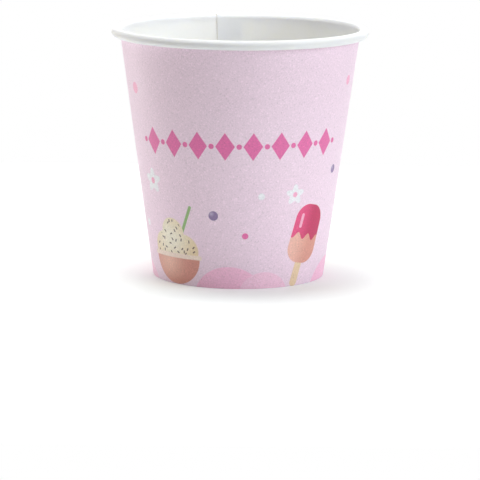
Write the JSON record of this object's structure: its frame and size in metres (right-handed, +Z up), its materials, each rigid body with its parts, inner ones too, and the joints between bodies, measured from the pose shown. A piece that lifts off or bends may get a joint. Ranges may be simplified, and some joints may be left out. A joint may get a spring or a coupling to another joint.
{
  "type": "paper cup",
  "caption": "Tapered paper cup with a rolled rim, a lapped side seam and a recessed bottom sealed in its folded foot, printed pink outside.",
  "frame": {"origin": "centre of the cup on the plane it stands on", "axes": "+Z up along the cup's axis, -Y towards the printed front in the picture, +X to the right of that front"},
  "size_m": [0.09, 0.09, 0.0876],
  "materials": {
    "printed_board": "satin",
    "white_board": "satin"
  },
  "bodies": {
    "root": {"side_wall": "printed_board", "bottom": "white_board"}
  },
  "joints": []
}
